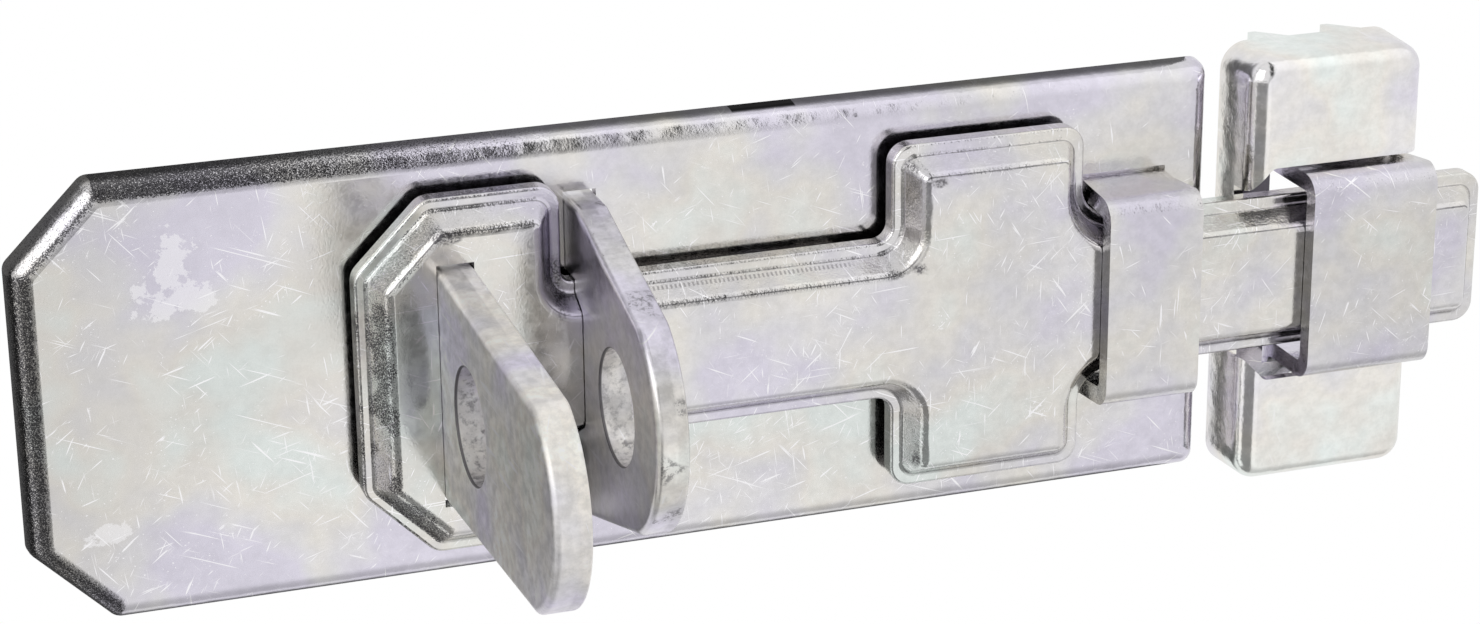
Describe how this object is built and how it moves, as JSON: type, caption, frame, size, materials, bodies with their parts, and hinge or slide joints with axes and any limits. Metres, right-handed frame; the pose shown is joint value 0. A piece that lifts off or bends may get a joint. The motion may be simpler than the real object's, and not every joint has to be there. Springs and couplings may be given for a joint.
{
  "type": "security door bolt",
  "caption": "Pressed sliding door bolt with padlock eyes on a base plate, a guide loop, and a separate keeper with a drawn cover.",
  "frame": {"origin": "middle of the base plate's length and width, on the mounting plane against the door", "axes": "+X along the bolt towards the keeper, +Y across the bolt, +Z out of the door; at rest the bolt is shot into the keeper"},
  "size_m": [0.1713, 0.0524, 0.056],
  "materials": {
    "base_plate": "bright zinc plated",
    "fixed_eye": "bright zinc plated",
    "guide_loop": "bright zinc plated",
    "sliding_bolt": "bright zinc plated",
    "bolt_eye": "bright zinc plated",
    "keeper_bracket": "bright zinc plated",
    "keeper_cover": "bright zinc plated"
  },
  "bodies": {
    "mounting": {"base_plate": "base_plate", "fixed_eye": "fixed_eye", "guide_loop": "guide_loop", "keeper_bracket": "keeper_bracket", "keeper_cover": "keeper_cover"},
    "bolt": {"sliding_bolt": "sliding_bolt", "bolt_eye": "bolt_eye"}
  },
  "joints": [
    {"name": "bolt_slide", "type": "slide", "parent": "mounting", "child": "bolt", "axis": [1, 0, 0], "range_m": [-0.032, 0]}
  ]
}
